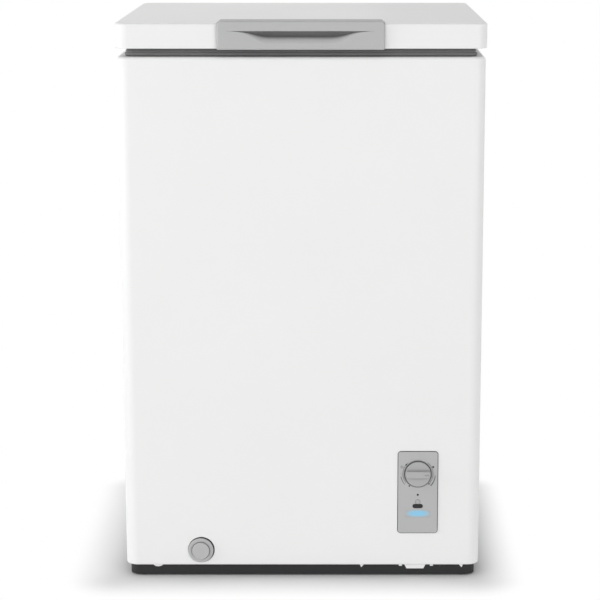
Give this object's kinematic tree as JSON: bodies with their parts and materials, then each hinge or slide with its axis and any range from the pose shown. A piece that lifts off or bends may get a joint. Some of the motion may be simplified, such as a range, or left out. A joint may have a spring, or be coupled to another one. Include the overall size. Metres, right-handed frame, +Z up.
{
  "type": "chest freezer",
  "caption": "Compact chest freezer: white steel cabinet, top-hinged insulated lid with a grey grip, front dial panel, drain plug and a sliding wire basket inside.",
  "frame": {"origin": "on the floor, under the middle of the whole object's bounding box", "axes": "+Z up, -Y towards the user at the front, +X to the user's right"},
  "size_m": [0.548, 0.507, 0.854],
  "materials": {
    "white_paint": "satin powder coat",
    "galvanised_steel": "dull spangle",
    "stucco_aluminium": "embossed",
    "grey_plastic": "fine texture",
    "dial_plastic": "fine texture",
    "white_plastic": "semi gloss",
    "black_plastic": "matt",
    "black_paint": "gloss",
    "insulation_foam": "closed-cell foam, porous",
    "black_rubber": "matt",
    "grey_seal": "soft satin",
    "magnet_strip": "matt",
    "blue_lens": "clear tinted",
    "copper_tube": "drawn",
    "steel_tube": "drawn",
    "bright_steel": "zinc plated",
    "motor_iron": "machined",
    "circuit_board": "solder mask",
    "cable_jacket": "matt",
    "white_coated_wire": "plastic dipped"
  },
  "bodies": {
    "cabinet": {"outer_shell": "white_paint", "back_panel": "galvanised_steel", "rear_cover": "galvanised_steel", "cord_gland": "black_plastic", "bottom_plate": "galvanised_steel", "inner_liner": "stucco_aluminium", "mouth_frame": "white_plastic", "foam_body": "insulation_foam", "evaporator_coil": "copper_tube", "condenser_coil": "steel_tube", "drain_tube": "white_plastic", "plinth": "black_plastic", "feet": "black_rubber", "side_grille": "white_plastic", "rear_screws": "bright_steel", "hinge_bracket_left": "galvanised_steel", "hinge_bracket_right": "galvanised_steel", "hinge_springs": "bright_steel", "bracket_screws": "bright_steel", "compressor_tray": "galvanised_steel", "compressor_rubbers": "black_rubber", "compressor_bolts": "bright_steel", "compressor_foot_plate": "black_paint", "compressor_shell": "black_paint", "compressor_motor": "motor_iron", "relay_cover": "white_plastic", "suction_tube": "copper_tube", "discharge_tube": "copper_tube", "process_tube": "copper_tube", "filter_drier": "copper_tube", "capillary_tube": "copper_tube", "control_bezel": "grey_plastic", "indicator_lenses": "blue_lens", "lamp_board": "circuit_board", "control_box": "white_plastic", "thermostat_body": "white_plastic", "temperature_sensor": "bright_steel", "wiring_loom": "cable_jacket"},
    "lid": {"lid_skin": "white_paint", "lid_liner": "white_plastic", "lid_foam": "insulation_foam", "lid_gasket": "grey_seal", "gasket_magnet": "magnet_strip", "lid_handle": "grey_plastic", "handle_screws": "bright_steel", "hinge_leaf_left": "galvanised_steel", "hinge_leaf_right": "galvanised_steel", "hinge_pins": "bright_steel", "leaf_screws": "bright_steel"},
    "knob": {"thermostat_knob": "dial_plastic", "thermostat_shaft": "bright_steel"},
    "plug": {"drain_plug": "grey_plastic"},
    "stopper": {"drain_stopper": "black_rubber"},
    "basket": {"basket_floor": "white_coated_wire", "basket_side_left": "white_coated_wire", "basket_side_right": "white_coated_wire", "basket_end_front": "white_coated_wire", "basket_end_rear": "white_coated_wire", "basket_rim": "white_coated_wire", "basket_hangers": "white_coated_wire"}
  },
  "joints": [
    {"name": "lid_hinge", "type": "hinge", "parent": "cabinet", "child": "lid", "pos_m": [0, 0.2455, 0.806], "axis": [-1, 0, 0], "range_deg": [0, 85], "stiffness_Nm_per_rad": 3, "springref_deg": 91.67},
    {"name": "knob_turn", "type": "hinge", "parent": "cabinet", "child": "knob", "pos_m": [0.1772, -0.2535, 0.166], "axis": [0, -1, 0], "range_deg": [-45, 225]},
    {"name": "drain_plug_pull", "type": "slide", "parent": "cabinet", "child": "plug", "axis": [0, -1, 0], "range_m": [0, 0.03]},
    {"name": "drain_stopper_lift", "type": "slide", "parent": "cabinet", "child": "stopper", "axis": [0, 0, 1], "range_m": [0, 0.04]},
    {"name": "basket_slide", "type": "slide", "parent": "cabinet", "child": "basket", "axis": [-1, 0, 0], "range_m": [0, 0.225]}
  ]
}
